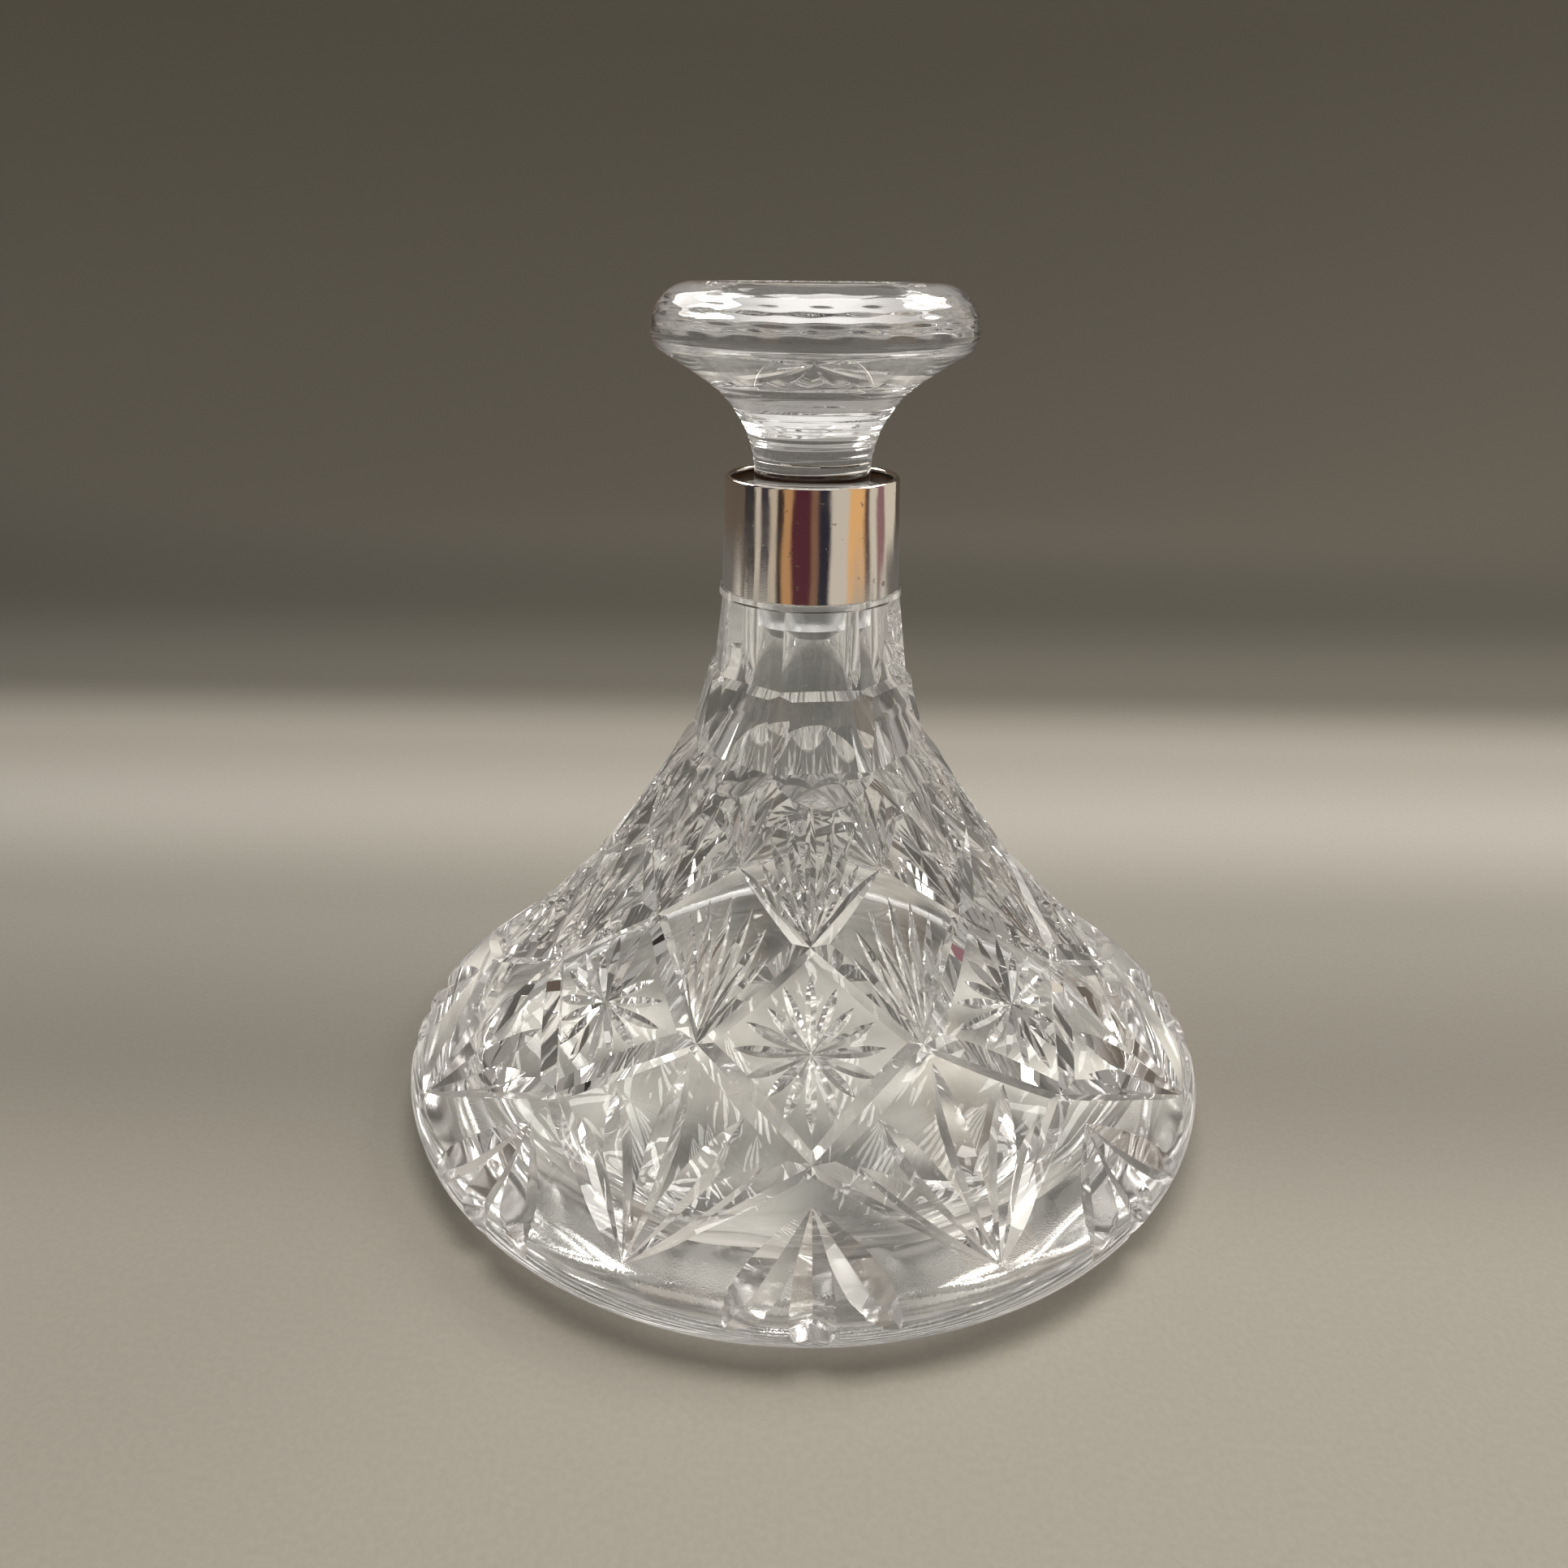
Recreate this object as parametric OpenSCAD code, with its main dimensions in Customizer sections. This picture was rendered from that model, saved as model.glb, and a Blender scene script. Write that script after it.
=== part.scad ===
// Ship's decanter: a broad-based glass decanter with a silver neck collar and a mushroom stopper.
// Millimetres, +Z up, with the origin at the centre of the flat underside.
// The glass is one blown and cut piece. The collar stands on a ledge of the neck, bedded in a ring of
// cement, and the stopper hangs in the ground taper of the neck and lifts straight out.

/* [Base and heel] */
// Radius of the flat underside that the decanter stands on
base_r = 95; // [88:0.5:98]
// Largest radius of the decanter
heel_r = 105; // [100:0.5:115]
// Height of the largest radius above the underside
heel_z = 12.4; // [10:0.1:16]
// Radius of the rounded edge between heel and shoulder
heel_round = 7; // [4:0.5:9]
// Slope of the shoulder where it leaves the heel, in degrees from vertical
heel_slope = 52; // [45:1:58]

/* [Shoulder and neck] */
// Radius of the hollow curve of the shoulder
shoulder_arc_r = 265; // [220:5:400]
// Radius of the glass where the shoulder turns into the neck
neck_base_r = 33; // [30:0.5:36]
// Height where the shoulder turns into the neck
neck_base_z = 95; // [85:0.5:105]
// Radius of the hollow curve at the foot of the neck
neck_arc_r = 70; // [50:1:120]
// Radius of the neck where its curve ends and its straight taper begins
neck_mid_r = 24.5; // [23:0.1:27]
// Height of the curved part of the neck
neck_curve_h = 23; // [18:0.5:28]
// Height of the straight taper of the neck, up to the ledge under the collar
neck_taper_h = 18.9; // [15:0.1:24]
// Radius of the ledge that the collar stands on
ledge_r = 21.4; // [21:0.1:23]

/* [Neck panels] */
// Number of flat panels around the neck
panel_count = 8; // [6:1:12]
// Turn of the first panel from the front, in degrees
panel_turn = 7.7; // [0:0.1:45]
// Height of the plain ring of glass between the upper panels and the collar
panel_ring_h = 1.4; // [0.8:0.1:3]
// Height of the upper tier of panels
upper_panel_h = 18; // [14:0.5:22]
// Height of the lower tier of panels
lower_panel_h = 18; // [14:0.5:22]
// Depth of the upper panels at their top
upper_depth_top = 1.6; // [0.8:0.1:2.2]
// Depth of the upper panels at their foot
upper_depth_foot = 2.4; // [1.2:0.1:3]
// Depth of the lower panels at their top
lower_depth_top = 1; // [0.5:0.1:1.6]
// Depth of the lower panels at their foot
lower_depth_foot = 2.9; // [1.5:0.1:3.5]
// Fall of the scalloped step under each panel, in degrees from level
step_fall = 30; // [10:1:40]

/* [Shoulder mitres] */
// Number of times the lattice of mitres repeats around the shoulder
mitre_count = 8; // [6:1:12]
// Turn of the lattice from the front, in degrees
mitre_turn = 1.8; // [0:0.1:45]
// Height of the lower tips of the mitres, near the heel
mitre_foot_z = 18.4; // [18:0.1:22]
// Height of the lowest row of crossings
lower_cross_z = 34.2; // [30:0.1:38]
// Height of the middle row of crossings
middle_cross_z = 49.8; // [45:0.1:55]
// Height of the highest row of crossings
upper_cross_z = 68; // [60:0.1:72]
// Height of the upper tips of the mitres
mitre_top_z = 81; // [76:0.1:84]
// Depth of the mitres at their crossings
mitre_depth = 1.7; // [0.8:0.1:2.2]
// Half of the angle between the two faces of every cut
mitre_half_angle = 52; // [40:1:58]

/* [Fans, leaves and stars] */
// Length of the middle ray of the fans over the lower tips of the mitres
heel_fan_l = 42; // [30:1:44]
// Depth of the rays of those fans
heel_fan_depth = 2.2; // [1:0.1:2.6]
// Gap from a lowest crossing down to the leaves that hang under it
leaf_gap = 8; // [5:0.5:12]
// Length of the middle leaf
leaf_l = 24; // [16:0.5:25]
// Depth of the leaves
leaf_depth = 2.2; // [1:0.1:2.6]
// Height of the stars above the middle row of crossings
star_rise = 0.5; // [-2:0.1:2]
// Length of the longest rays of the stars
star_l = 17; // [10:0.5:18]
// Length of the middle ray of the fans over the middle and upper crossings
upper_fan_l = 33; // [20:1:34]
// Depth of the rays of the stars and of the upper fans
upper_fan_depth = 1.3; // [0.6:0.1:1.6]

/* [Glass thickness] */
// Thickness of the floor
floor_t = 9; // [6:0.5:12]
// Thickness of the shoulder wall before it is cut
wall_t = 9; // [7:0.5:11]
// Radius of the inside corner between floor and shoulder
inner_corner_r = 7; // [4:0.5:10]
// Radius of the bore at the lower end of the ground taper
bore_r = 12; // [10.5:0.1:12.5]
// Radius of the inside curve below the bore
inner_neck_arc_r = 30; // [20:1:45]
// Slope of the ground taper, in degrees from vertical
taper_angle = 2; // [1:0.1:2.5]

/* [Mouth] */
// Outer radius of the plain mouth inside the collar
mouth_r = 18.2; // [17.6:0.1:18.4]
// Radius of the rounded lip
lip_round = 1.6; // [0.8:0.1:2]
// Depth of the lip below the rim of the collar
lip_drop = 3; // [2:0.1:6]

/* [Collar] */
// Height of the collar
collar_h = 25.6; // [20:0.1:32]
// Outer radius of the collar at its foot
collar_foot_r = 20.9; // [20.6:0.1:21]
// Outer radius of the collar at its rim
collar_rim_r = 20.1; // [20:0.1:20.6]
// Thickness of the silver
collar_t = 0.9; // [0.6:0.1:1.1]
// Radius of the rolled bead at the rim
rim_bead_r = 0.75; // [0.6:0.05:0.9]

/* [Stopper] */
// Length of the ground peg, from the rim of the collar down
peg_len = 36.5; // [28:0.5:40]
// Chamfer around the end of the peg
peg_chamfer = 3; // [1.5:0.1:4]
// Radius of the hollow curve from the peg out to the head
flare_arc_r = 24.5; // [22:0.5:28]
// Slope at which the head leaves that curve, in degrees from vertical
flare_angle = 58; // [52:1:62]
// Radius of the head
head_r = 36; // [34:0.5:42]
// Height of the head above the corner where its slope meets its side
head_h = 12.8; // [12:0.1:18]
// Radius of the round under the head
head_under_round = 5; // [2:0.5:6]
// Radius of the round at the top edge of the head
head_top_round = 6; // [3:0.5:7]

/* [Stopper star] */
// Number of rays of the star on top of the stopper
top_star_count = 12; // [8:1:16]
// Outer radius of that star
top_star_r = 24.5; // [18:0.5:27]
// Depth of its rays
top_star_depth = 1.5; // [0.6:0.1:2]

/* [Fits] */
// Radial room in the ground taper between stopper and neck
seat_gap = 0.1; // [0.05:0.01:0.2]
// Room between the cement and the faces that it beds
bed_gap = 0.05; // [0.02:0.01:0.1]

/* [Hidden] */
$fn = 96;

// Steps in an arc of an outline
arc_steps = 10;
// Room by which a cutter overshoots the glass
over = 4;

// Heights up the neck
neck_mid_z = neck_base_z + neck_curve_h;
seat_z = neck_mid_z + neck_taper_h;
rim_z = seat_z + collar_h;
lip_z = rim_z - lip_drop;

// Lower heel: the arc from the underside that stands upright at the largest radius. Its radius is
// negative, and the arc hollow, where the underside is made the wider of the two
heel_low_r = (pow(heel_r - base_r, 2) + pow(heel_z, 2)) / (2 * (heel_r - base_r));
heel_low_c = [heel_r - heel_low_r, heel_z];
heel_low_start = atan2(-heel_z / heel_low_r, (base_r - heel_low_c.x) / heel_low_r);

// Upper heel: the round that hands over to the shoulder
heel_up_c = [heel_r - heel_round, heel_z];
shoulder_foot = on_circle(heel_up_c, heel_round, heel_slope);

// Outer shoulder and neck, each a hollow arc between two points
neck_base = [neck_base_r, neck_base_z];
neck_mid = [neck_mid_r, neck_mid_z];
shoulder_c = hollow_centre(shoulder_foot, neck_base, shoulder_arc_r);
neck_c = hollow_centre(neck_base, neck_mid, neck_arc_r);

// Inside: the shoulder wall is parallel to the outside, and both its ends run smoothly into
// the corner at the floor and into the curve below the bore
inside_r = shoulder_arc_r + wall_t;
corner_c = [
    shoulder_c.x - sqrt(pow(inside_r + inner_corner_r, 2)
        - pow(shoulder_c.y - floor_t - inner_corner_r, 2)),
    floor_t + inner_corner_r
];
bore_c = [
    bore_r + inner_neck_arc_r,
    shoulder_c.y - sqrt(pow(inside_r - inner_neck_arc_r, 2)
        - pow(shoulder_c.x - bore_r - inner_neck_arc_r, 2))
];
corner_turn = angle_from(corner_c, shoulder_c);
bore_turn = angle_from(bore_c, shoulder_c);
bore_z = bore_c.y;

// Rows of the lattice, from the heel up, and the depth of the cut in each row: the tips run out
mitre_heights = [mitre_foot_z, lower_cross_z, middle_cross_z, upper_cross_z, mitre_top_z];
mitre_depths = [0, mitre_depth, mitre_depth, mitre_depth, 0];

// Rays of a fan: lean from straight up in degrees, and share of the longest ray's length
heel_rays = [[0, 1], [25, 0.86], [-25, 0.86], [43, 0.77], [-43, 0.77]];
upper_rays = [[0, 1], [20, 0.85], [-20, 0.85]];
leaf_rays = [[180, 1], [145, 0.94], [-145, 0.94]];
star_rays = [for (k = [0:7]) [45 * k, k % 2 == 0 ? 1 : 0.8]];
// Gap between the point of a fan and the starts of its rays
ray_gap = 3.5;
// Share of a ray's length where its cut is deepest
ray_widest = 0.6;

// Stopper
peg_end_z = rim_z - peg_len;
peg_end_r = taper_r(peg_end_z + peg_chamfer) - seat_gap;
shank_r = taper_r(rim_z) - seat_gap;
flare_c = [shank_r + flare_arc_r, rim_z];
flare_end = on_circle(flare_c, flare_arc_r, 180 - flare_angle);
head_corner_z = flare_end.y + (head_r - flare_end.x) / tan(flare_angle);
head_top_z = head_corner_z + head_h;
under_c = [head_r - head_under_round, head_corner_z + head_under_round * tan(flare_angle / 2)];
head_top_c = [head_r - head_top_round, head_top_z - head_top_round];

// Collar and cement
collar_bead_c = [collar_rim_r - rim_bead_r, rim_z - rim_bead_r];

// A point on a circle of an outline
function on_circle(c, r, a) = c + r * [cos(a), sin(a)];

// Points along an arc from angle a to angle b; first = 1 leaves out a start that is there already
function arc(c, r, a, b, first = 0) =
    [for (i = [first:arc_steps]) on_circle(c, r, a + (b - a) * i / arc_steps)];

// Direction from p to q, in degrees
function angle_from(p, q) = atan2(q.y - p.y, q.x - p.x);

// Centre of an arc of radius r that runs up and inwards from p to q and is hollow outside
function hollow_centre(p, q, r) =
    let (d = q - p, half = norm(d) / 2)
    (p + q) / 2 + sqrt(r * r - half * half) * [d.y, -d.x] / norm(d);

// Points along such an arc after p
function hollow_arc(p, q, c) = arc(c, norm(p - c), angle_from(c, p), angle_from(c, q), 1);

// Radius of the outside of an arc with centre c and radius r at height z
function arc_radius_at(c, r, z) = c.x - sqrt(r * r - pow(z - c.y, 2));

// Radius of the uncut glass at height z, on the shoulder or the neck
function outside_radius(z) =
    z > neck_mid_z ? neck_mid_r + (ledge_r - neck_mid_r) * (z - neck_mid_z) / neck_taper_h
    : z > neck_base_z ? arc_radius_at(neck_c, neck_arc_r, z)
    : arc_radius_at(shoulder_c, shoulder_arc_r, z);

// Radius of the ground taper at height z
function taper_r(z) = bore_r + (z - bore_z) * tan(taper_angle);

// Inner radius of the collar at height z
function collar_inner_r(z) =
    collar_foot_r + (collar_rim_r - collar_foot_r) * (z - seat_z) / collar_h - collar_t;

// Outside of the glass that shows, from the underside up to the ledge under the collar
glass_side = concat(
    arc(heel_low_c, heel_low_r, heel_low_start, 0),
    arc(heel_up_c, heel_round, 0, heel_slope, 1),
    hollow_arc(shoulder_foot, neck_base, shoulder_c),
    hollow_arc(neck_base, neck_mid, neck_c),
    [[ledge_r, seat_z]]
);

// Outside of the glass, from the underside up to the lip
glass_outside = concat(
    [[0, 0]],
    glass_side,
    [[mouth_r, seat_z]],
    arc([mouth_r - lip_round, lip_z - lip_round], lip_round, 0, 90)
);

// Length along the outside up to its point i
function run_to(i) = i == 0 ? 0 : run_to(i - 1) + norm(glass_side[i] - glass_side[i - 1]);

// The outside by its length, and its length by height
radius_by_run = [for (i = [0:len(glass_side) - 1]) [run_to(i), glass_side[i].x]];
height_by_run = [for (i = [0:len(glass_side) - 1]) [run_to(i), glass_side[i].y]];
run_by_height = [for (i = [0:len(glass_side) - 1]) [glass_side[i].y, run_to(i)]];

// Point of the outside at a length along it, and the direction straight out of the glass there
function side_point(run) = [lookup(run, radius_by_run), lookup(run, height_by_run)];
function side_normal(run) =
    let (d = side_point(run + 1) - side_point(run - 1))
    [d.y, -d.x] / norm(d);

// A point of an outline turned about the axis
function turned(p, turn) = [p.x * cos(turn), p.x * sin(turn), p.y];

// Inside of the glass, from the lip down to the floor
glass_inside = concat(
    [[taper_r(lip_z), lip_z]],
    arc(bore_c, inner_neck_arc_r, 180, 180 + bore_turn),
    arc(shoulder_c, inside_r, 180 + bore_turn, 180 + corner_turn, 1),
    arc(corner_c, inner_corner_r, corner_turn, -90, 1),
    [[0, floor_t]]
);

// A wedge that cuts one flat panel: its inner face leans with the neck, and its foot falls outwards
module panel_cutter(top_z, foot_z, top_depth, foot_depth) {
    foot_r = outside_radius(foot_z) - foot_depth;
    top_r = outside_radius(top_z) - top_depth;
    reach = foot_depth + over;
    width = 2 * outside_radius(foot_z) * tan(180 / panel_count);
    rotate([90, 0, 0])
        linear_extrude(width, center = true)
            polygon([
                [foot_r, foot_z],
                [foot_r + reach, foot_z - reach * tan(step_fall)],
                [foot_r + reach, top_z],
                [top_r, top_z]
            ]);
}

// One tier of panels around the neck, with the first one turned from the front
module panel_tier(top_z, foot_z, top_depth, foot_depth) {
    for (i = [0:panel_count - 1])
        rotate(panel_turn - 90 + i * 360 / panel_count)
            panel_cutter(top_z, foot_z, top_depth, foot_depth);
}

// Slope of the shoulder at height z, in degrees from vertical
function shoulder_slope(z) = asin((shoulder_c.y - z) / shoulder_arc_r);

// A point of the lattice: row counts up from the heel, step counts half repeats around
function lattice_point(row, step) =
    let (
        z = mitre_heights[row],
        depth = mitre_depths[row],
        slope = shoulder_slope(z),
        r = outside_radius(z) - depth * cos(slope),
        turn = step * 180 / mitre_count
    )
    [r * cos(turn), r * sin(turn), z - depth * sin(slope)];

// A straight V prism from p to q, open outwards, that runs on before p and after q
module vee(p, q, outwards, reach, before, after) {
    run = norm(q - p);
    along = (q - p) / run;
    sideways = cross(outwards, along);
    side = sideways / norm(sideways);
    up = cross(along, side);
    half_width = reach * tan(mitre_half_angle);
    multmatrix([
        [side.x, up.x, along.x, p.x],
        [side.y, up.y, along.y, p.y],
        [side.z, up.z, along.z, p.z]
    ])
        translate([0, 0, -before])
            linear_extrude(before + run + after)
                polygon([[0, 0], [half_width, reach], [-half_width, reach]]);
}

// One mitre from p to q, open along the shoulder's normal at its middle
module mitre(p, q) {
    middle = (p + q) / 2;
    middle_r = norm([middle.x, middle.y]);
    outwards = [middle.x, middle.y, middle_r * tan(shoulder_slope(middle.z))];
    vee(p, q, outwards, mitre_depth + over, mitre_depth, mitre_depth);
}

// A pointed cut that starts and ends on the glass and is deepest between: two V prisms in common
module pointed_cut(start, deepest, end, outwards, depth) {
    first = norm(deepest - start);
    last = norm(end - deepest);
    reach = over + depth * (first + last) / min(first, last);
    intersection() {
        vee(start, deepest, outwards, reach, over, last + over);
        vee(deepest, end, outwards, reach, first + over, over);
    }
}

// One ray on the outside: it leaves a point at a length along the outside, and leans from straight up
module ray(step, from_run, lean, length, depth) {
    places = [for (d = [ray_gap, ray_widest * length, length]) d];
    runs = [for (d = places) from_run + d * cos(lean)];
    turns = [for (i = [0:2])
        step * 180 / mitre_count + places[i] * sin(lean) / side_point(runs[i]).x * 180 / PI];
    normal = side_normal(runs[1]);
    pointed_cut(
        turned(side_point(runs[0]), turns[0]),
        turned(side_point(runs[1]) - depth * normal, turns[1]),
        turned(side_point(runs[2]), turns[2]),
        turned(normal, turns[1]),
        depth
    );
}

// The rays of one fan, leaf group or star around its point
module fan(step, from_run, rays, length, depth) {
    for (r = rays)
        ray(step, from_run, r[0], r[1] * length, depth);
}

// The fans, leaves and stars in and around the diamonds of the lattice
module fans() {
    for (i = [0:mitre_count - 1])
        rotate(mitre_turn - 90 + i * 360 / mitre_count) {
            fan(1, lookup(mitre_foot_z, run_by_height), heel_rays, heel_fan_l, heel_fan_depth);
            fan(0, lookup(lower_cross_z, run_by_height) - leaf_gap, leaf_rays, leaf_l, leaf_depth);
            fan(0, lookup(middle_cross_z + star_rise, run_by_height), star_rays, star_l, upper_fan_depth);
            fan(1, lookup(middle_cross_z, run_by_height), upper_rays, upper_fan_l, upper_fan_depth);
            fan(0, lookup(upper_cross_z, run_by_height), upper_rays, upper_fan_l, upper_fan_depth);
        }
}

// The crossing mitres around the shoulder: from each point of a row, one to either side
module mitre_lattice() {
    for (i = [0:mitre_count - 1])
        rotate(mitre_turn - 90 + i * 360 / mitre_count)
            for (row = [0:len(mitre_heights) - 2], hand = [-1, 1])
                mitre(lattice_point(row, (row + 1) % 2), lattice_point(row + 1, (row + 1) % 2 + hand));
}

// The glass body, with crossing mitres, fans and stars around its shoulder and two tiers of flat panels
// on its neck
module decanter_body() {
    upper_top = seat_z - panel_ring_h;
    upper_foot = upper_top - upper_panel_h;
    lower_foot = upper_foot - lower_panel_h;
    color([0.86, 0.88, 0.87, 0.45])
        difference() {
            rotate_extrude()
                polygon(concat(glass_outside, glass_inside));
            panel_tier(upper_top, upper_foot, upper_depth_top, upper_depth_foot);
            panel_tier(upper_foot, lower_foot, lower_depth_top, lower_depth_foot);
            mitre_lattice();
            fans();
        }
}

// The silver sleeve, open at both ends, with a rolled bead at its rim
module silver_collar() {
    color([0.78, 0.76, 0.72])
        rotate_extrude()
            polygon(concat(
                [[collar_foot_r - collar_t, seat_z], [collar_foot_r, seat_z]],
                arc(collar_bead_c, rim_bead_r, 0, 180),
                [[collar_inner_r(rim_z - 2 * rim_bead_r), rim_z - 2 * rim_bead_r]]
            ));
}

// The ring of cement that beds the collar on the mouth
module collar_cement() {
    top_z = lip_z - lip_round;
    color([0.82, 0.78, 0.7])
        rotate_extrude()
            polygon([
                [mouth_r + bed_gap, seat_z],
                [collar_inner_r(seat_z) - bed_gap, seat_z],
                [collar_inner_r(top_z) - bed_gap, top_z],
                [mouth_r + bed_gap, top_z]
            ]);
}

// The star on top of the stopper: pointed cuts that leave a small flat in the middle
module top_star() {
    for (k = [0:top_star_count - 1])
        rotate(mitre_turn - 90 + k * 360 / top_star_count)
            pointed_cut(
                [ray_gap, 0, head_top_z],
                [ray_widest * top_star_r, 0, head_top_z - top_star_depth],
                [top_star_r, 0, head_top_z],
                [0, 0, 1],
                top_star_depth
            );
}

// The solid glass stopper: a ground peg, a hollow flare and a mushroom head with a star on top
module stopper() {
    color([0.88, 0.9, 0.89, 0.5])
        difference() {
            rotate_extrude()
                polygon(concat(
                    [[0, peg_end_z], [peg_end_r - peg_chamfer, peg_end_z]],
                    [[peg_end_r, peg_end_z + peg_chamfer]],
                    arc(flare_c, flare_arc_r, 180, 180 - flare_angle),
                    arc(under_c, head_under_round, -flare_angle, 0),
                    arc(head_top_c, head_top_round, 0, 90),
                    [[0, head_top_z]]
                ));
            top_star();
        }
}

decanter_body();
silver_collar();
collar_cement();
stopper();
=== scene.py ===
import math

import bmesh
import bpy
import numpy as np
from mathutils import Matrix, Vector


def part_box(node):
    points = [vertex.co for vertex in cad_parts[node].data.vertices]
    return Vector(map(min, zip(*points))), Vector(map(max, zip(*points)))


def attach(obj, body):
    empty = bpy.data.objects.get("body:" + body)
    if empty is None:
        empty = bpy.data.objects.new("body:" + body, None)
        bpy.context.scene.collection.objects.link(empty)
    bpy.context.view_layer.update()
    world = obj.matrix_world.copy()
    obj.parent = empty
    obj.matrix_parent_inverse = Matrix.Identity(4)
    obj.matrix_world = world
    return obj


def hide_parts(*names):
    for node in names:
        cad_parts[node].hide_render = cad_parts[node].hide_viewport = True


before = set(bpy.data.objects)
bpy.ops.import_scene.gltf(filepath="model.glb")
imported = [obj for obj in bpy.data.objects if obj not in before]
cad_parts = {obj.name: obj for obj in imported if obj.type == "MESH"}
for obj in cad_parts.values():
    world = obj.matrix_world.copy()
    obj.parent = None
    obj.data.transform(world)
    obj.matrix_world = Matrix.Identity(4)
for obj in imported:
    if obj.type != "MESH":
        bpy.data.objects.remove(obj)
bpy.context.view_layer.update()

MM = 0.001
scene = bpy.context.scene

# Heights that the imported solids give, in millimetres
SEAT_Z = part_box("silver_collar")[0].z / MM
RIM_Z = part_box("silver_collar")[1].z / MM
LIP_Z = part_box("decanter_body")[1].z / MM
PEG_END_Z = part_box("stopper")[0].z / MM
HEAD_TOP_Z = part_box("stopper")[1].z / MM

# Base and heel, in millimetres and degrees
BASE_R = 95
HEEL_R = 105
HEEL_Z = 12.4
HEEL_ROUND = 7
HEEL_SLOPE = 52

# Shoulder and neck
SHOULDER_ARC_R = 265
NECK_BASE = np.array((33, 95))
NECK_ARC_R = 70
NECK_MID = np.array((24.5, 118))
LEDGE_R = 21.4

# Neck panels: the depths of each tier are at the top and at the foot
PANEL_COUNT = 8
PANEL_TURN = 7.7
PANEL_RING_H = 1.4
PANEL_H = 18
PANEL_DEPTHS = ((1.6, 2.4), (1.0, 2.9))
STEP_FALL = 45

# Lattice of mitres
REPEATS = 8
PATTERN_TURN = 1.8
ROW_HEIGHTS = np.array((18.4, 34.2, 49.8, 68, 81))
MITRE_DEPTH = 1.7
ROW_DEPTHS = np.array((0, MITRE_DEPTH, MITRE_DEPTH, MITRE_DEPTH, 0))
MITRE_HALF_ANGLE = 52

# Fans, leaves and stars: each ray is a lean from straight up in degrees and a length in millimetres
HEEL_RAYS = ((0, 43), (25, 37), (43, 33))
MIDDLE_RAYS = ((0, 33), (9.5, 32), (19, 29), (28.5, 24))
UPPER_RAYS = ((0, 34), (10.5, 30), (21, 26), (32, 21))
NECK_RAYS = ((0, 19), (15, 17.5), (30, 14))
LEAF_RAYS = ((180, 33), (145, 31), (215, 31))
LEAF_DROP = 8
STAR_Z = 50.3
STAR_RAYS = 16
STAR_LENGTHS = (17, 15.5, 13.5, 15.5)

# Inside of the glass and its mouth
FLOOR_T = 9
FLOOR_DISH = 1.5
FLOOR_EDGE = 2
UNDERSIDE_HOLLOW = 1.2
STANDING_RING = 6
WALL_T = 9
INNER_CORNER_R = 7
BORE_R = 12
INNER_NECK_ARC_R = 30
TAPER = math.tan(math.radians(2))
MOUTH_R = 18.2
LIP_ROUND = 1.6

# Collar and cement
COLLAR_FOOT_R = 20.9
COLLAR_RIM_R = 20.1
COLLAR_T = 0.9
FOOT_EDGE = 0.25
RIM_BEAD_R = 0.75
BED_GAP = 0.05

# Stopper
PEG_CHAMFER = 3
SEAT_GAP = 0.1
FLARE_ARC_R = 24.5
FLARE_ANGLE = 58
HEAD_R = 36
HEAD_H = 12.8
HEAD_UNDER_ROUND = 5
HEAD_SHOULDER = 9.5
HEAD_FLAT_R = 15

# Star of grooves across the stopper's top: the places along a half groove are shares of its length
STAR_GROOVES = 16
GROOVE_R = 24.5
GROOVE_DEPTH = 1.5
GROOVE_HALF_ANGLE = 60
GROOVE_WIDEST = 0.62
GROOVE_INNER_REACH = 0.75
GROOVE_OUTER_REACH = 0.38
GROOVE_STATIONS = 41

# How far cutters stand out of the glass, and how far a cut's own line runs past its ends
OVER = 2.5
RUN_OUT = 0.06
CUT_STATIONS = 17
TURNS = 192
CEMENT_TURNS = 128

# A face counts as cut by how deep it lies under the uncut outside, how nearly it faces the same way,
# and its height
CUT_DEPTHS = (0.02, 7)
CUT_FACINGS = (0.05, 0.97)
CUT_LOWEST_Z = 1

# Edges that turn by more degrees than these are sharp
CUT_EDGE = 16
SILVER_EDGE = 35
CEMENT_EDGE = 40

# Points nearer than the first are merged and edges shorter than the second dissolved, in metres
MERGE_WITHIN = 2e-6
SLIVER_WITHIN = 1e-6

# Waves of uneven surfaces: size, waves around, height over which a wave moves on by one radian, start.
# The sizes are in millimetres, and those of the sleeve are shares of its radius
WALL_WAVES = ((0.2, 3, 17, 0), (0.12, 5, -9, 1))
CORNER_WAVES = ((0.35, 13, math.inf, 0.7), (0.3, 22, 3, 0))
CORNER_WAVE_REACH = 25
SLEEVE_WAVES = ((0.0012, 4, 9, 0), (0.0008, 9, -4, 0))
TROWEL_WAVES = ((0.1, 7, math.inf, 0), (0.08, 17, math.inf, 2))
TROWEL_DIP = 0.18
TROWEL_REACH = 3
HEAD_WAVES = ((0.05, 21, 1, 0),)

# Rings of the inside over which its waves start before the wall, and over which they grow
WAVE_LEAD = 3
WAVE_GROWTH = 6


def arc(centre, radius, start, end, steps):
    """Points of a circle: centre plus radius times the cosine and sine of evenly spaced angles."""
    a = np.radians(np.linspace(start, end, steps + 1))
    return np.column_stack((centre[0] + radius * np.cos(a), centre[1] + radius * np.sin(a)))


def turn_to(p, q):
    """Direction from p to q: the angle whose tangent is rise over run, in degrees."""
    return math.degrees(math.atan2(q[1] - p[1], q[0] - p[0]))


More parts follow.
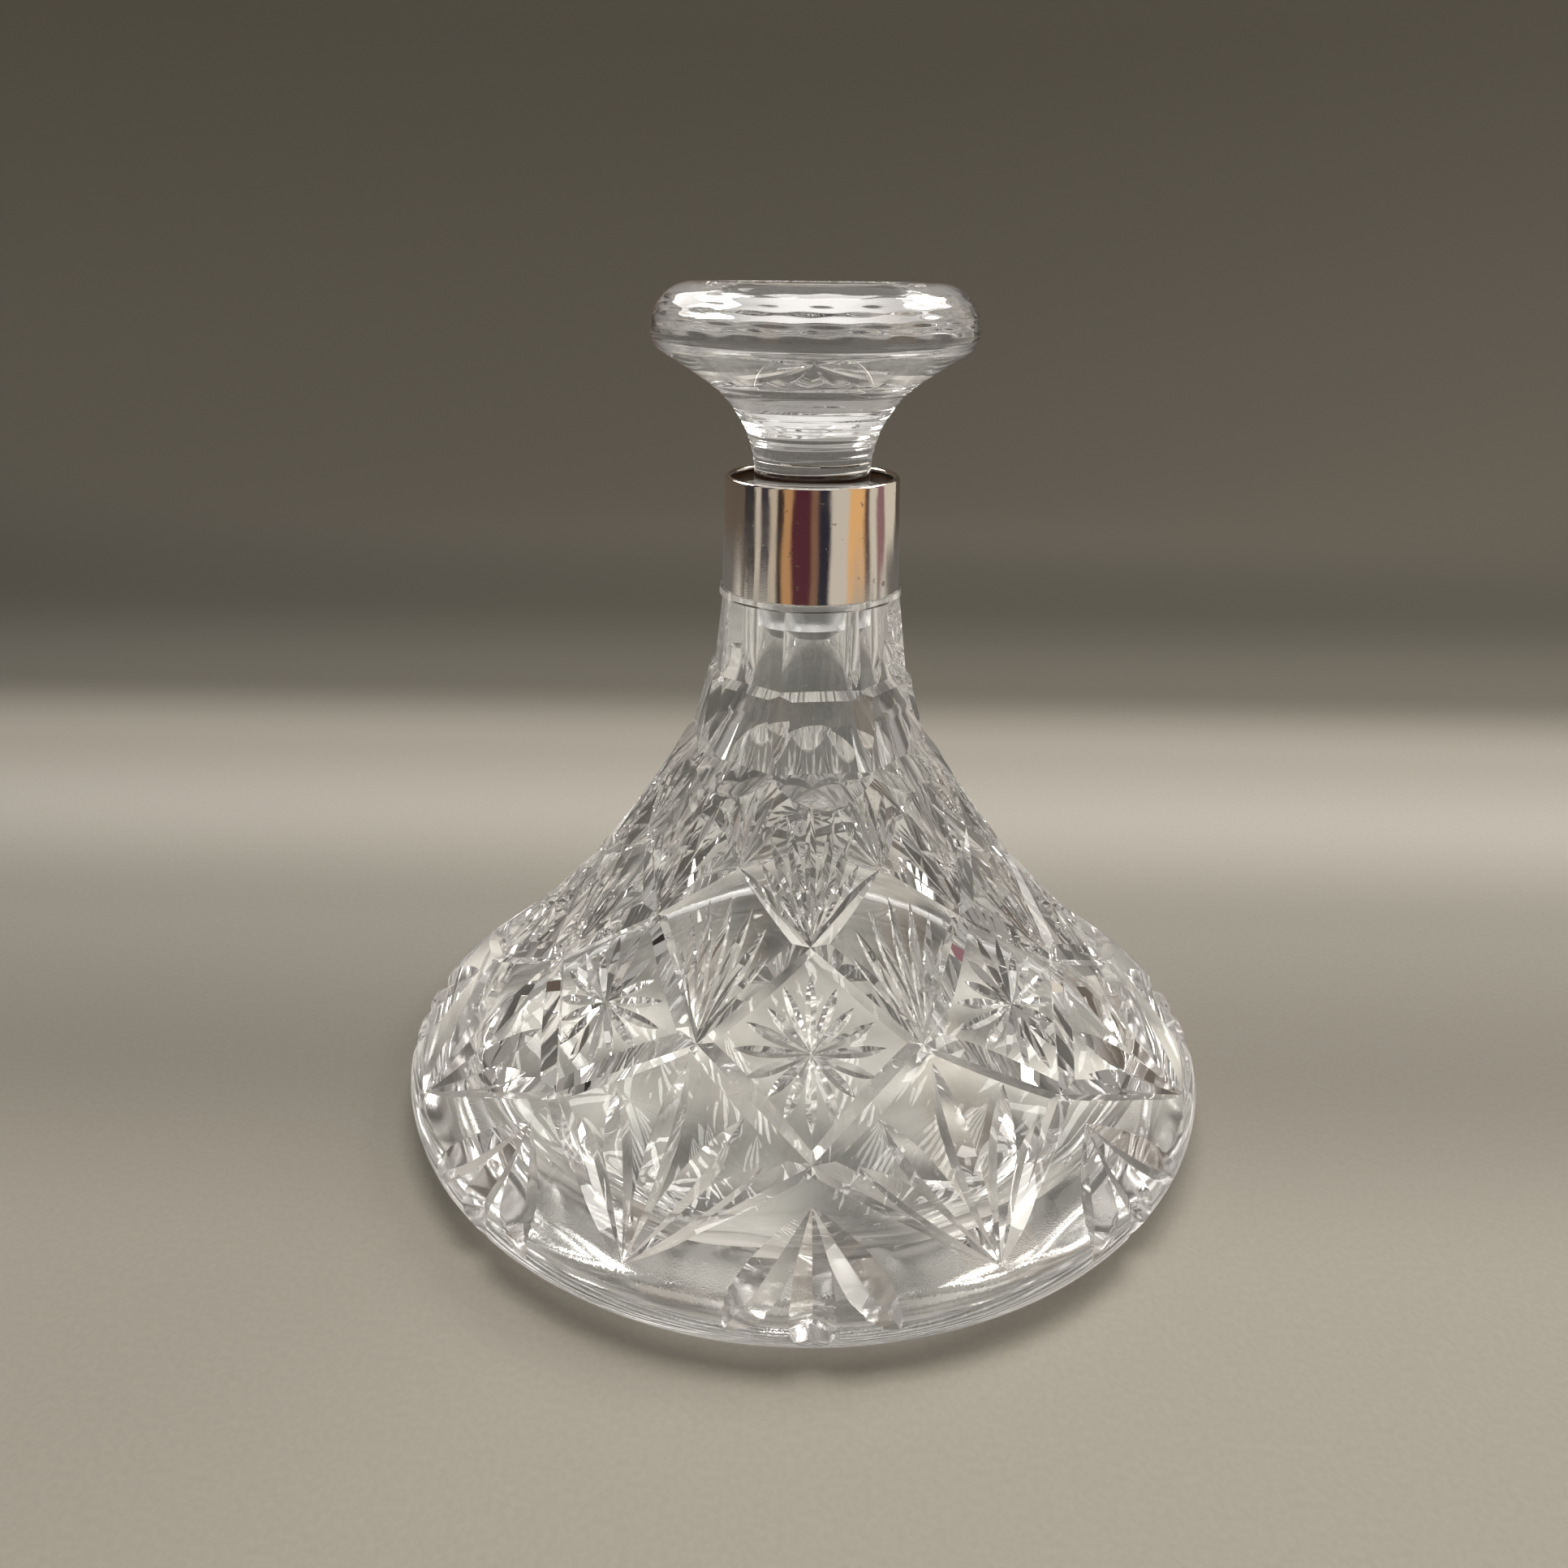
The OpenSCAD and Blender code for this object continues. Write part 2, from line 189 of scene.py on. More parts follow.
def hollow_centre(p, q, radius):
    """Centre of an arc from p to q: the middle of the chord, moved square to it by the root of the
    radius squared less half the chord squared."""
    d = q - p
    chord = np.hypot(*d)
    return (p + q) / 2 + math.sqrt(radius**2 - chord**2 / 4) * np.array((d[1], -d[0])) / chord


def hollow_arc(p, q, centre, steps):
    """Points of the circle around centre from p to q."""
    return arc(centre, np.hypot(*(p - centre)), turn_to(centre, p), turn_to(centre, q), steps)


# Outline of the glass: arcs from the underside up the heel, shoulder and neck, as in the solids
heel_low_r = ((HEEL_R - BASE_R) ** 2 + HEEL_Z**2) / (2 * (HEEL_R - BASE_R))
heel_low_c = np.array((HEEL_R - heel_low_r, HEEL_Z))
heel_up_c = np.array((HEEL_R - HEEL_ROUND, HEEL_Z))
shoulder_foot = arc(heel_up_c, HEEL_ROUND, HEEL_SLOPE, HEEL_SLOPE, 0)[0]
shoulder_c = hollow_centre(shoulder_foot, NECK_BASE, SHOULDER_ARC_R)
neck_c = hollow_centre(NECK_BASE, NECK_MID, NECK_ARC_R)
cut_side = np.concatenate((
    arc(heel_low_c, heel_low_r, turn_to(heel_low_c, (BASE_R, 0)), 0, 12),
    arc(heel_up_c, HEEL_ROUND, 0, HEEL_SLOPE, 10)[1:],
    hollow_arc(shoulder_foot, NECK_BASE, shoulder_c, 48)[1:],
    hollow_arc(NECK_BASE, NECK_MID, neck_c, 14)[1:],
    np.linspace(NECK_MID, (LEDGE_R, SEAT_Z), 9)[1:],
))

# Outline of the inside: parallel to the shoulder, rounded into the floor and into the bore
inside_r = SHOULDER_ARC_R + WALL_T
corner_z = FLOOR_T + INNER_CORNER_R
corner_c = np.array((
    shoulder_c[0] - math.sqrt((inside_r + INNER_CORNER_R) ** 2 - (shoulder_c[1] - corner_z) ** 2),
    corner_z,
))
bore_x = BORE_R + INNER_NECK_ARC_R
bore_c = np.array((
    bore_x,
    shoulder_c[1] - math.sqrt((inside_r - INNER_NECK_ARC_R) ** 2 - (shoulder_c[0] - bore_x) ** 2),
))
corner_turn = turn_to(corner_c, shoulder_c)
bore_turn = turn_to(bore_c, shoulder_c)


def taper_r(z):
    """Radius of the ground taper: the bore's radius plus the height above it times the slope."""
    return BORE_R + (z - bore_c[1]) * TAPER


def dished(reach, height, rise):
    """A shallow dish from the axis out: the height plus the rise times one less the square of the
    radius over the reach."""
    r = np.linspace(0, reach, 13)
    return np.column_stack((r, height + rise * (1 - (r / reach) ** 2)))


inside_wall = np.concatenate((
    arc(shoulder_c, inside_r, 180 + bore_turn, 180 + corner_turn, 40)[1:],
    arc(corner_c, INNER_CORNER_R, corner_turn, -90, 12)[1:],
    dished(corner_c[0] - FLOOR_EDGE, FLOOR_T, -FLOOR_DISH)[-2::-1],
))
body_outline = np.concatenate((
    dished(BASE_R - STANDING_RING, 0, UNDERSIDE_HOLLOW),
    cut_side,
    ((MOUTH_R, SEAT_Z),),
    arc((MOUTH_R - LIP_ROUND, LIP_Z - LIP_ROUND), LIP_ROUND, 0, 90, 6),
    np.linspace((taper_r(LIP_Z), LIP_Z), (BORE_R, bore_c[1]), 8),
    arc(bore_c, INNER_NECK_ARC_R, 180, 180 + bore_turn, 8)[1:],
    inside_wall,
))

# The outside as a table by its own length, for cuts that lie on it
side_run = np.concatenate(((0,), np.cumsum(np.hypot(*np.diff(cut_side, axis=0).T))))
side_slope = np.gradient(cut_side, side_run, axis=0)
side_slope /= np.linalg.norm(side_slope, axis=1, keepdims=True)


def add_mesh(name, points, faces):
    """A mesh object at the origin from points in millimetres."""
    mesh = bpy.data.meshes.new(name)
    mesh.from_pydata((np.asarray(points).reshape(-1, 3) * MM).tolist(), [], faces)
    piece = bpy.data.objects.new(name, mesh)
    scene.collection.objects.link(piece)
    return piece


def revolve(name, outline, turns=TURNS, loop=False, uneven=None):
    """Solid of revolution: x and y are an outline point's radius times the cosine and sine of the
    turn, and z its height. An outline from axis to axis ends in two poles, and a loop is closed on
    itself. uneven(points) may shift the grid of points."""
    turn = np.linspace(0, 2 * np.pi, turns, endpoint=False)
    rings = outline if loop else outline[1:-1]
    grid = np.empty((len(rings), turns, 3))
    grid[..., 0] = rings[:, :1] * np.cos(turn)
    grid[..., 1] = rings[:, :1] * np.sin(turn)
    grid[..., 2] = rings[:, 1:]
    if uneven is not None:
        grid = uneven(grid)
    index = np.arange(len(rings) * turns).reshape(len(rings), turns)
    above = np.roll(index, -1, axis=0)
    rows = slice(None) if loop else slice(0, -1)
    beside, above_beside = np.roll(index, -1, axis=1), np.roll(above, -1, axis=1)
    corners = (index[rows], beside[rows], above_beside[rows], above[rows])
    faces = np.stack(corners, -1).reshape(-1, 4).tolist()
    points = grid.reshape(-1, 3)
    if not loop:
        first, last = len(points), len(points) + 1
        points = np.concatenate((points, ((0, 0, outline[0, 1]), (0, 0, outline[-1, 1]))))
        faces += np.stack((np.full(turns, first), beside[0], index[0]), -1).tolist()
        faces += np.stack((np.full(turns, last), index[-1], beside[-1]), -1).tolist()
    return add_mesh(name, points, faces)


def lofts(name, sections):
    """Closed lofts: sections is an array of copies, stations, corners and coordinates. Each side
    joins two neighbouring corners to the same corners of the next station, and both ends are caps."""
    copies, stations, corners, _ = sections.shape
    index = np.arange(copies * stations * corners).reshape(copies, stations, corners)
    beside = np.roll(index, -1, axis=2)
    sides = np.stack((index[:, :-1], beside[:, :-1], beside[:, 1:], index[:, 1:]), -1)
    faces = sides.reshape(-1, 4).tolist() + index[:, 0, ::-1].tolist() + index[:, -1].tolist()
    piece = add_mesh(name, sections, faces)
    work = bmesh.new()
    work.from_mesh(piece.data)
    bmesh.ops.recalc_face_normals(work, faces=work.faces)
    work.to_mesh(piece.data)
    work.free()
    return piece


def turned(points, turns):
    """Copies of points turned about Z: x cos - y sin, x sin + y cos, z, one copy for each turn."""
    c, s = np.cos(turns), np.sin(turns)
    turn = np.zeros((len(turns), 3, 3))
    turn[:, 0, 0], turn[:, 0, 1] = c, -s
    turn[:, 1, 0], turn[:, 1, 1] = s, c
    turn[:, 2, 2] = 1
    return np.einsum("nij,...j->n...i", turn, points)


def unit(v):
    """Vectors divided by their own lengths."""
    return v / np.linalg.norm(v, axis=-1, keepdims=True)


def waves(turn, z, table):
    """Sum of waves around and up a piece: each is its size times the sine of so many turns, plus the
    height over a length, plus a start."""
    return sum(size * np.sin(count * turn + z / length + start) for size, count, length, start in table)


def side_radius(z):
    """Radius of the uncut glass at height z, read from the outside by height."""
    return np.interp(z, cut_side[:, 1], cut_side[:, 0])


def panel_cutters(tier, parity):
    """Prisms that cut every second flat panel of a tier: the inner face leans from the depth at the
    foot to the depth at the top, and the foot falls outwards at the step's angle."""
    top_depth, foot_depth = PANEL_DEPTHS[tier]
    top_z = SEAT_Z - PANEL_RING_H - tier * PANEL_H
    foot_z = top_z - PANEL_H
    foot_r = side_radius(foot_z) - foot_depth
    top_r = side_radius(top_z) - top_depth
    reach = foot_depth + 2 * OVER
    fall = reach * math.tan(math.radians(STEP_FALL))
    half_width = side_radius(foot_z) * math.tan(math.pi / PANEL_COUNT)
    face = np.array((
        (foot_r, foot_z), (foot_r + reach, foot_z - fall), (foot_r + reach, top_z), (top_r, top_z),
    ))
    section = np.zeros((2, 4, 3))
    section[..., 0] = face[:, 0]
    section[..., 1] = np.array((-half_width, half_width))[:, None]
    section[..., 2] = face[:, 1]
    step = 2 * math.pi / PANEL_COUNT
    turns = math.radians(PANEL_TURN - 90) + step * np.arange(parity, PANEL_COUNT, 2)
    return turned(section, turns)


def shoulder_slope(z):
    """Slope of the shoulder from vertical: the arc sine of the drop from its centre over its radius."""
    return np.arcsin((shoulder_c[1] - z) / SHOULDER_ARC_R)


def repeat_turns(half_steps):
    """Turns of the eight repeats of the pattern, half_steps half repeats from the front one."""
    return math.radians(PATTERN_TURN - 90) + np.pi / REPEATS * (half_steps + 2 * np.arange(REPEATS))


def mitre_cutters(row, hand):
    """Straight V prisms from a lattice point of a row to the next row, one hand aside: a triangle of
    the given half angle, opened outwards along the shoulder's normal at the middle of the cut."""
    rows = np.array((row, row + 1))
    steps = (row + 1) % 2 + np.array((0, hand))
    slope = shoulder_slope(ROW_HEIGHTS[rows])
    r = side_radius(ROW_HEIGHTS[rows]) - ROW_DEPTHS[rows] * np.cos(slope)
    z = ROW_HEIGHTS[rows] - ROW_DEPTHS[rows] * np.sin(slope)
    turn = steps * np.pi / REPEATS
    ends = np.column_stack((r * np.cos(turn), r * np.sin(turn), z))
    along = unit(ends[1] - ends[0])
    middle = ends.mean(0)
    rise = np.hypot(*middle[:2]) * np.tan(shoulder_slope(middle[2]))
    side = unit(np.cross((middle[0], middle[1], rise), along))
    up = np.cross(along, side)
    reach = MITRE_DEPTH + OVER
    wide = reach * math.tan(math.radians(MITRE_HALF_ANGLE)) * side
    corners = np.stack((np.zeros(3), reach * up + wide, reach * up - wide))
    stations = ends + np.outer((-1, 1), MITRE_DEPTH * along)
    return turned(stations[:, None] + corners, repeat_turns(0))


def boats(half_steps, start_run, lean, length, depth, widest, half_angle):
    """Leaf-shaped V cuts that follow the outside. The path leaves a point at start_run along the
    outside, leaning from straight up: its turn is sideways length over radius. The depth is a
    parabola on either side of the widest place and nothing at both ends."""
    t = np.linspace(-RUN_OUT, 1 + RUN_OUT, CUT_STATIONS)
    lean = math.radians(lean)
    run = start_run + length * t * math.cos(lean)
    r = np.interp(run, side_run, cut_side[:, 0])
    z = np.interp(run, side_run, cut_side[:, 1])
    slope_r = np.interp(run, side_run, side_slope[:, 0])
    slope_z = np.interp(run, side_run, side_slope[:, 1])
    turn = repeat_turns(half_steps)[:, None] + length * t * math.sin(lean) / r
    cos, sin = np.cos(turn), np.sin(turn)
    point = np.stack((r * cos, r * sin, np.broadcast_to(z, turn.shape)), -1)
    out = unit(np.stack((slope_z * cos, slope_z * sin, np.broadcast_to(-slope_r, turn.shape)), -1))
    side = unit(np.cross(out, np.gradient(point, axis=1)))
    reach = np.where(t < widest, widest, 1 - widest)
    deep = (depth * (1 - ((t - widest) / reach) ** 2))[:, None]
    wide = (deep + OVER) * math.tan(math.radians(half_angle)) * side
    return np.stack((point - deep * out, point + OVER * out + wide, point + OVER * out - wide), 2)


def run_at(z):
    """Length along the outside up to height z."""
    return np.interp(z, cut_side[:, 1], side_run)


def fan(half_steps, height, rays, depth, widest, half_angle, below=0):
    """Boats of one fan, one array for each ray, which all start at one point of each repeat."""
    return [boats(half_steps, run_at(height) - below, lean, length, depth, widest, half_angle)
            for lean, length in rays]


def both_sides(rays):
    """Rays given for one side, with their mirror images: a lean of nothing stays single."""
    return [(sign * lean, length) for lean, length in rays for sign in (1, -1) if lean or sign > 0]


star_rays = [(360 / STAR_RAYS * k, STAR_LENGTHS[k % len(STAR_LENGTHS)]) for k in range(STAR_RAYS)]
heel_fan = fan(1, ROW_HEIGHTS[0], both_sides(HEEL_RAYS), depth=2.5, widest=0.6, half_angle=54)
middle_fan = fan(1, ROW_HEIGHTS[2], both_sides(MIDDLE_RAYS), depth=1.3, widest=0.6, half_angle=46)
upper_fan = fan(0, ROW_HEIGHTS[3], both_sides(UPPER_RAYS), depth=1.2, widest=0.6, half_angle=46)
neck_fan = fan(1, ROW_HEIGHTS[4], both_sides(NECK_RAYS), depth=1.1, widest=0.6, half_angle=46)
star = fan(0, STAR_Z, star_rays, depth=1.15, widest=0.62, half_angle=47)
leaves = fan(0, ROW_HEIGHTS[1], LEAF_RAYS, depth=2.6, widest=0.72, half_angle=62, below=LEAF_DROP)


def together(*fans):
    """Groups of cutters from fans that never meet: ray by ray, one from each fan."""
    longest = max(map(len, fans))
    return [np.concatenate([f[k] for f in fans if k < len(f)]) for k in range(longest)]


def keep_result(piece, sharp_angle):
    """Makes the piece's finished surface its own mesh, and shades it smooth between edges that turn
    by more than sharp_angle degrees."""
    graph = bpy.context.evaluated_depsgraph_get()
    mesh = bpy.data.meshes.new_from_object(piece.evaluated_get(graph))
    piece.modifiers.clear()
    piece.data = mesh
    mesh.name = piece.name
    work = bmesh.new()
    work.from_mesh(mesh)
    bmesh.ops.remove_doubles(work, verts=work.verts, dist=MERGE_WITHIN)
    bmesh.ops.dissolve_degenerate(work, edges=work.edges, dist=SLIVER_WITHIN)
    work.to_mesh(mesh)
    work.free()
    mesh.shade_smooth()
    mesh.set_sharp_from_angle(angle=math.radians(sharp_angle))


def cut(piece, groups):
    """Takes each group of cutters out of the piece in turn, then removes the cutters."""
    cutters = [lofts(f"cutter_{i}", sections) for i, sections in enumerate(groups)]
    for cutter in cutters:
        step = piece.modifiers.new("cut", "BOOLEAN")
        step.operation = "DIFFERENCE"
        step.solver = "MANIFOLD"
        step.object = cutter
    keep_result(piece, CUT_EDGE)
    for cutter in cutters:
        mesh = cutter.data
        bpy.data.objects.remove(cutter)
        bpy.data.meshes.remove(mesh)


def blown(grid):
    """Slight unevenness of the blown inside: the radius inside the glass swells by slow waves around
    and up the wall, with finer ones near the floor, and the outside stays true."""
    x, y, z = np.moveaxis(grid, -1, 0)
    r, turn = np.hypot(x, y), np.arctan2(y, x)
    first = len(body_outline) - len(inside_wall) - WAVE_LEAD
    grown = np.clip((np.arange(len(grid)) - first) / WAVE_GROWTH, 0, 1)[:, None]
    low = np.clip(1 - (z - FLOOR_T) / CORNER_WAVE_REACH, 0, 1)
    shift = waves(turn, z, WALL_WAVES) + low * waves(turn, z, CORNER_WAVES)
    swell = 1 + grown * shift / np.maximum(r, BORE_R)
    return np.stack((x * swell, y * swell, z), -1)


def between(value, limits):
    """True where a value lies between two limits."""
    return (value > limits[0]) & (value < limits[1])


def mark_cuts(piece):
    """Writes 1 to the attribute wheel_cut on each face that lies under the uncut outside and leans away
    from its normal: the facing is the dot product of the two normals."""
    mesh = piece.data
    centre, normal = np.empty((2, len(mesh.polygons) * 3))
    mesh.polygons.foreach_get("center", centre)
    mesh.polygons.foreach_get("normal", normal)
    centre, normal = centre.reshape(-1, 3) / MM, normal.reshape(-1, 3)
    r = np.hypot(centre[:, 0], centre[:, 1])
    run = run_at(centre[:, 2])
    slope_r = np.interp(run, side_run, side_slope[:, 0])
    slope_z = np.interp(run, side_run, side_slope[:, 1])
    outwards = (normal[:, :2] * centre[:, :2]).sum(1) / np.maximum(r, 1)
    facing = outwards * slope_z - normal[:, 2] * slope_r
    under = (side_radius(centre[:, 2]) - r) * slope_z
    cut_face = between(under, CUT_DEPTHS) & between(facing, CUT_FACINGS) & (centre[:, 2] > CUT_LOWEST_Z)
    wheel_cut = mesh.attributes.new("wheel_cut", "FLOAT", "FACE")
    wheel_cut.data.foreach_set("value", cut_face.astype(np.float32))


body = revolve("cut_glass_body", body_outline, uneven=blown)
cut(body, [panel_cutters(tier, parity) for tier in (0, 1) for parity in (0, 1)]
    + [mitre_cutters(row, hand) for row in range(len(ROW_HEIGHTS) - 1) for hand in (-1, 1)]
    + together(heel_fan, upper_fan) + together(middle_fan, neck_fan) + together(star, leaves))
mark_cuts(body)

# Stopper: peg, hollow flare and mushroom head, whose shoulder is a quarter of an ellipse
shank_r = taper_r(RIM_Z) - SEAT_GAP
peg_end_r = taper_r(PEG_END_Z + PEG_CHAMFER) - SEAT_GAP
flare_c = np.array((shank_r + FLARE_ARC_R, RIM_Z))
head_corner_z = HEAD_TOP_Z - HEAD_H
under_z = head_corner_z + HEAD_UNDER_ROUND * math.tan(math.radians(FLARE_ANGLE / 2))
quarter = arc((0, 0), 1, 0, 90, 40)[1:]
stopper_outline = np.concatenate((
    ((0, PEG_END_Z), (peg_end_r - PEG_CHAMFER, PEG_END_Z)),
    np.linspace((peg_end_r, PEG_END_Z + PEG_CHAMFER), (shank_r, RIM_Z), 10),
    arc(flare_c, FLARE_ARC_R, 180, 180 - FLARE_ANGLE, 70)[1:],
    arc((HEAD_R - HEAD_UNDER_ROUND, under_z), HEAD_UNDER_ROUND, -FLARE_ANGLE, 0, 16),
    (HEAD_R - HEAD_SHOULDER, under_z) + quarter * (HEAD_SHOULDER, HEAD_TOP_Z - under_z),
    ((HEAD_FLAT_R, HEAD_TOP_Z), (0, HEAD_TOP_Z)),
))

# Rings of the stopper: where those of the flare and of the shoulder end, and over how far they fade
FLARE_RINGS_END = under_z - 2
FLARE_FADE = 3
SHOULDER_RINGS_END = HEAD_TOP_Z - 0.5
SHOULDER_FADES = (2, 1)


def rings(z, size, spacing, drift):
    """Rings up a piece: their size times the sine of a full turn over each spacing, plus a drift."""
    return size * np.sin(2 * np.pi * z / spacing + drift)


def faded(z, low, high, fade_low, fade_high):
    """1 between two heights, with an even fade to nothing at each."""
    return np.clip((z - low) / fade_low, 0, 1) * np.clip((high - z) / fade_high, 0, 1)


def rippled(grid):
    """Rings left by turning the hot glass: the radius changes by small waves along the height of the
    flare and of the head's shoulder, which fade out towards the shank, the head's side and its top."""
    x, y, z = np.moveaxis(grid, -1, 0)
    r, turn = np.hypot(x, y), np.arctan2(y, x)
    flare = rings(z, size=0.07, spacing=2.7, drift=0.4 * np.sin(2 * turn))
    flare += rings(z, size=0.03, spacing=1.3, drift=turn)
    shoulder = rings(z, size=0.06, spacing=2.3, drift=0.8 * np.sin(3 * turn))
    shoulder += waves(turn, z, HEAD_WAVES)
    shift = faded(z, RIM_Z, FLARE_RINGS_END, FLARE_FADE, FLARE_FADE) * flare
    shift += faded(z, under_z, SHOULDER_RINGS_END, *SHOULDER_FADES) * shoulder
    swell = 1 + shift / r
    return np.stack((x * swell, y * swell, z), -1)


def top_groove(turn):
    """One groove across the top of the stopper: along it the depth is a parabola on either side of
    the widest place of each half, shallow at the centre and nothing at the ends."""
    x = np.linspace(-1 - RUN_OUT, 1 + RUN_OUT, GROOVE_STATIONS)
    out = np.abs(x)
    reach = np.where(out < GROOVE_WIDEST, GROOVE_INNER_REACH, GROOVE_OUTER_REACH)
    deep = GROOVE_DEPTH * (1 - ((out - GROOVE_WIDEST) / reach) ** 2)
    wide = (deep + OVER) * math.tan(math.radians(GROOVE_HALF_ANGLE))
    section = np.zeros((len(x), 3, 3))
    section[..., 0] = GROOVE_R * x[:, None]
    section[:, 1, 1], section[:, 2, 1] = wide, -wide
    section[:, 0, 2] = HEAD_TOP_Z - deep
    section[:, 1:, 2] = HEAD_TOP_Z + OVER
    return turned(section, np.array((turn,)))


stopper = revolve("glass_stopper", stopper_outline, uneven=rippled)
cut(stopper, [top_groove(math.radians(PATTERN_TURN) + np.pi * k / STAR_GROOVES)
              for k in range(STAR_GROOVES)])

# Silver sleeve with a rolled rim, as a closed loop of its section
bead_c = (COLLAR_RIM_R - RIM_BEAD_R, RIM_Z - RIM_BEAD_R)
collar_outline = np.concatenate((
    ((COLLAR_FOOT_R - COLLAR_T, SEAT_Z), (COLLAR_FOOT_R - FOOT_EDGE, SEAT_Z)),
    np.linspace((COLLAR_FOOT_R, SEAT_Z + FOOT_EDGE), (COLLAR_RIM_R, bead_c[1]), 12)[:-1],
    arc(bead_c, RIM_BEAD_R, 0, 180, 14),
    ((COLLAR_RIM_R - COLLAR_T, RIM_Z - 2 * RIM_BEAD_R),),
))


def hand_raised(grid):
    """Slight unevenness of the thin sleeve: its radius changes by slow waves around it."""
    x, y, z = np.moveaxis(grid, -1, 0)
    swell = 1 + waves(np.arctan2(y, x), z, SLEEVE_WAVES)
    return np.stack((x * swell, y * swell, z), -1)


collar = revolve("silver_sleeve", collar_outline, loop=True, uneven=hand_raised)
keep_result(collar, SILVER_EDGE)

# Cement: a ring between mouth and sleeve, trowelled a little unevenly along its top
cement_top = LIP_Z - LIP_ROUND
draw = (COLLAR_RIM_R - COLLAR_FOOT_R) / (RIM_Z - SEAT_Z)
cement_in_r = MOUTH_R + BED_GAP
cement_foot_r = COLLAR_FOOT_R - COLLAR_T - BED_GAP
cement_top_r = cement_foot_r + draw * (cement_top - SEAT_Z)
cement_outline = np.concatenate((
    np.linspace((cement_in_r, SEAT_Z), (cement_foot_r, SEAT_Z), 3)[:-1],
    np.linspace((cement_foot_r, SEAT_Z), (cement_top_r, cement_top), 9)[:-1],
    np.linspace((cement_top_r, cement_top), (cement_in_r, cement_top), 5)[:-1],
    np.linspace((cement_in_r, cement_top), (cement_in_r, SEAT_Z), 9)[:-1],
))


def trowelled(grid):
    """Small dips in the top of the cement: the height falls by waves around the ring near its top."""
    x, y, z = np.moveaxis(grid, -1, 0)
    near_top = np.clip(1 - (cement_top - z) / TROWEL_REACH, 0, 1)
    dip = TROWEL_DIP + waves(np.arctan2(y, x), z, TROWEL_WAVES)
    return np.stack((x, y, z - near_top * dip), -1)


cement = revolve("cement_ring", cement_outline, turns=CEMENT_TURNS, loop=True, uneven=trowelled)
keep_result(cement, CEMENT_EDGE)


def link(tree, source, target):
    """Joins an output socket to an input socket."""
    tree.links.new(source, target)


def node(tree, kind, **settings):
    """A new node of a kind, with its properties set by name."""
    made = tree.nodes.new(kind)
    for key, value in settings.items():
        setattr(made, key, value)
    return made


def put(tree, value, socket):
    """Links a value to a socket if it is an output, and otherwise sets it there."""
    if hasattr(value, "is_output"):
        link(tree, value, socket)
    else:
        socket.default_value = value


def math_node(tree, operation, *values):
    """One operation on up to three values, each a socket or a number."""
    made = node(tree, "ShaderNodeMath", operation=operation)
    for socket, value in zip(made.inputs, values):
        put(tree, value, socket)
    return made.outputs[0]


def product(tree, a, b):
    """a times b."""
    return math_node(tree, "MULTIPLY", a, b)


def larger(tree, a, b):
    """The larger of a and b."""
    return math_node(tree, "MAXIMUM", a, b)


def stepped(tree, value, low, high, to_low=0.0, to_high=1.0):
    """Maps a value from low..high to to_low..to_high with smooth ends, and holds it outside."""
    made = node(tree, "ShaderNodeMapRange", interpolation_type="SMOOTHSTEP")
    made.inputs["From Min"].default_value = low
    made.inputs["From Max"].default_value = high
    made.inputs["To Min"].default_value = to_low
    made.inputs["To Max"].default_value = to_high
    link(tree, value, made.inputs["Value"])
    return made.outputs["Result"]


def noise(tree, place, scale, detail=3.0, rough=0.5):
    """Noise value at a place. The scale is a number or a socket."""
    made = node(tree, "ShaderNodeTexNoise")
    put(tree, scale, made.inputs["Scale"])
    made.inputs["Detail"].default_value = detail
    made.inputs["Roughness"].default_value = rough
    link(tree, place, made.inputs["Vector"])
    return made.outputs["Fac"]


def stretched(tree, place, scale):
    """A place with its axes scaled, so that a pattern is drawn out along one of them."""
    made = node(tree, "ShaderNodeMapping")
    made.inputs["Scale"].default_value = scale
    link(tree, place, made.inputs["Vector"])
    return made.outputs["Vector"]


def ramp(tree, value, stops, interpolation="EASE"):
    """Colours by a value from 0 to 1: a ramp through (position, colour) stops."""
    made = node(tree, "ShaderNodeValToRGB")
    made.color_ramp.interpolation = interpolation
    elements = made.color_ramp.elements
    while len(elements) < len(stops):
        elements.new(0.5)
    for element, (position, colour) in zip(elements, stops):
        element.position = position
        element.color = (*colour, 1)
    link(tree, value, made.inputs["Fac"])
    return made.outputs["Color"]


def mixed(tree, factor, a, b, blend="MIX"):
    """Two colours, each a socket or a constant, mixed by a factor."""
    made = node(tree, "ShaderNodeMix", data_type="RGBA", blend_type=blend)
    put(tree, factor, made.inputs["Factor"])
    put(tree, a, made.inputs["A"])
    put(tree, b, made.inputs["B"])
    return made.outputs["Result"]


def shaded(tree, colour, level):
    """A colour times a level, which is made a grey first."""
    grey = node(tree, "ShaderNodeCombineColor")
    for channel in ("Red", "Green", "Blue"):
        link(tree, level, grey.inputs[channel])
    return mixed(tree, 1.0, colour, grey.outputs["Color"], "MULTIPLY")


def axes(tree, place):
    """The x, y and z of a place, and its distance from the axis: the root of x squared plus y squared."""
    parts = node(tree, "ShaderNodeSeparateXYZ")
    link(tree, place, parts.inputs["Vector"])
    x, y, z = (parts.outputs[k] for k in "XYZ")
    square = math_node(tree, "ADD", product(tree, x, x), product(tree, y, y))
    return x, y, z, math_node(tree, "SQRT", square)


